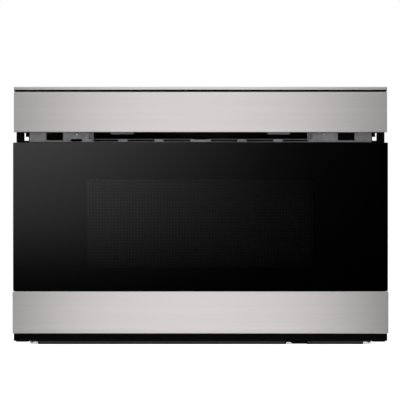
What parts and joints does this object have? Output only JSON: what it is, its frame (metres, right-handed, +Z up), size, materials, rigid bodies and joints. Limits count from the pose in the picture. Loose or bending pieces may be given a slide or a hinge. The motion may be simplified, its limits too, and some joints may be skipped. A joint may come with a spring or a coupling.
{
  "type": "microwave drawer",
  "caption": "Built-in microwave drawer: black glass front with steel bands, sliding cavity pan on telescopic slides, and a tip-out control panel.",
  "frame": {"origin": "centre of the bounding box at the level of the cabinet skids", "axes": "+Z up, the front faces -Y, +X to the right seen from the front"},
  "size_m": [0.6112, 0.59, 0.4182],
  "materials": {
    "brushed_steel": "horizontal brushed stainless steel",
    "galvanised": "galvanised sheet, matt",
    "black_paint": "satin black paint on steel",
    "black_glass": "black back-printed glass, polished",
    "clear_glass": "clear float glass",
    "oven_enamel": "light grey oven paint, satin",
    "pan_polymer": "heat-proof polymer, satin",
    "ceramic": "off-white glass ceramic",
    "black_plastic": "moulded black plastic",
    "white_plastic": "moulded white plastic",
    "gear_acetal": "natural acetal",
    "zinc_steel": "zinc-plated steel",
    "aluminium": "mill finish",
    "laminations": "varnished steel laminations",
    "copper_winding": "enamelled copper wire",
    "circuit_board": "green solder mask",
    "lens": "blue light lens"
  },
  "bodies": {
    "cabinet": {"base_plate": "galvanised", "side_panel_right": "galvanised", "side_panel_left": "galvanised", "top_cover": "galvanised", "rear_panel": "galvanised", "cord_gland": "black_plastic", "front_plate": "galvanised", "mount_flange_right": "black_paint", "mount_flange_left": "black_paint", "vent_grille": "galvanised", "base_trim": "black_paint", "oven_cavity": "oven_enamel", "antenna_well": "oven_enamel", "stirrer_cover": "ceramic", "vent_duct": "galvanised", "slide_fixed_right": "zinc_steel", "slide_fixed_left": "zinc_steel", "drive_gearbox": "black_plastic", "drive_motor": "zinc_steel", "interlock_right": "white_plastic", "interlock_left": "white_plastic", "cavity_lamp": "white_plastic", "waveguide": "aluminium", "magnetron": "aluminium", "stirrer_motor": "zinc_steel", "transformer_core": "laminations", "transformer_winding": "copper_winding", "capacitor": "aluminium", "noise_filter": "circuit_board", "fan_shroud": "black_plastic", "fan_motor": "zinc_steel", "tilt_motor": "zinc_steel", "control_shell": "black_paint", "status_lens": "lens", "top_trim": "brushed_steel"},
    "drawer": {"door_glass": "black_glass", "door_band": "brushed_steel", "door_frame": "black_paint", "window_screen": "black_paint", "inner_glass": "clear_glass", "door_choke": "black_plastic", "drawer_pan": "pan_polymer", "drawer_tray": "ceramic", "latch_hook_right": "white_plastic", "latch_hook_left": "white_plastic", "slide_inner_right": "zinc_steel", "slide_inner_left": "zinc_steel", "drive_rack": "gear_acetal"},
    "slide_middle_right": {"slide_middle_right": "zinc_steel"},
    "slide_middle_left": {"slide_middle_left": "zinc_steel"},
    "drive_pinion": {"drive_pinion": "gear_acetal"},
    "control_panel": {"panel_fascia": "brushed_steel", "panel_housing": "black_plastic", "touch_glass": "black_glass", "control_board": "circuit_board", "hinge_arm_right": "gear_acetal", "hinge_arm_left": "gear_acetal"},
    "tilt_pinion": {"tilt_pinion": "gear_acetal"},
    "fan": {"fan_blades": "black_plastic"},
    "stirrer": {"stirrer_antenna": "aluminium"}
  },
  "joints": [
    {"name": "drawer_slide", "type": "slide", "parent": "cabinet", "child": "drawer", "axis": [0, -1, 0], "range_m": [0, 0.381]},
    {"name": "slide_middle_right_run", "type": "slide", "parent": "cabinet", "child": "slide_middle_right", "axis": [0, -1, 0], "range_m": [0, 0.1905]},
    {"name": "slide_middle_left_run", "type": "slide", "parent": "cabinet", "child": "slide_middle_left", "axis": [0, -1, 0], "range_m": [0, 0.1905]},
    {"name": "drive_pinion_turn", "type": "hinge", "parent": "cabinet", "child": "drive_pinion", "pos_m": [-0.12, -0.22, 0.054], "axis": [1, 0, 0], "range_deg": [0, 1560]},
    {"name": "panel_tilt", "type": "hinge", "parent": "cabinet", "child": "control_panel", "pos_m": [0, -0.289, 0.3502], "axis": [1, 0, 0], "range_deg": [0, 75]},
    {"name": "tilt_pinion_turn", "type": "hinge", "parent": "cabinet", "child": "tilt_pinion", "pos_m": [0.2629, -0.27805, 0.38027], "axis": [1, 0, 0], "range_deg": [-226, 0]},
    {"name": "fan_turn", "type": "hinge", "parent": "cabinet", "child": "fan", "pos_m": [0, 0.27, 0.268], "axis": [0, 1, 0], "continuous": true},
    {"name": "stirrer_turn", "type": "hinge", "parent": "cabinet", "child": "stirrer", "pos_m": [0, -0.0427, 0.08], "axis": [0, 0, 1], "continuous": true}
  ],
  "couplings": [
    {"joint": "slide_middle_right_run", "follows": "drawer_slide", "ratio": 0.5},
    {"joint": "slide_middle_left_run", "follows": "drawer_slide", "ratio": 0.5},
    {"joint": "drive_pinion_turn", "follows": "drawer_slide", "rad_per_m": 71.429},
    {"joint": "tilt_pinion_turn", "follows": "panel_tilt", "ratio": -3}
  ]
}
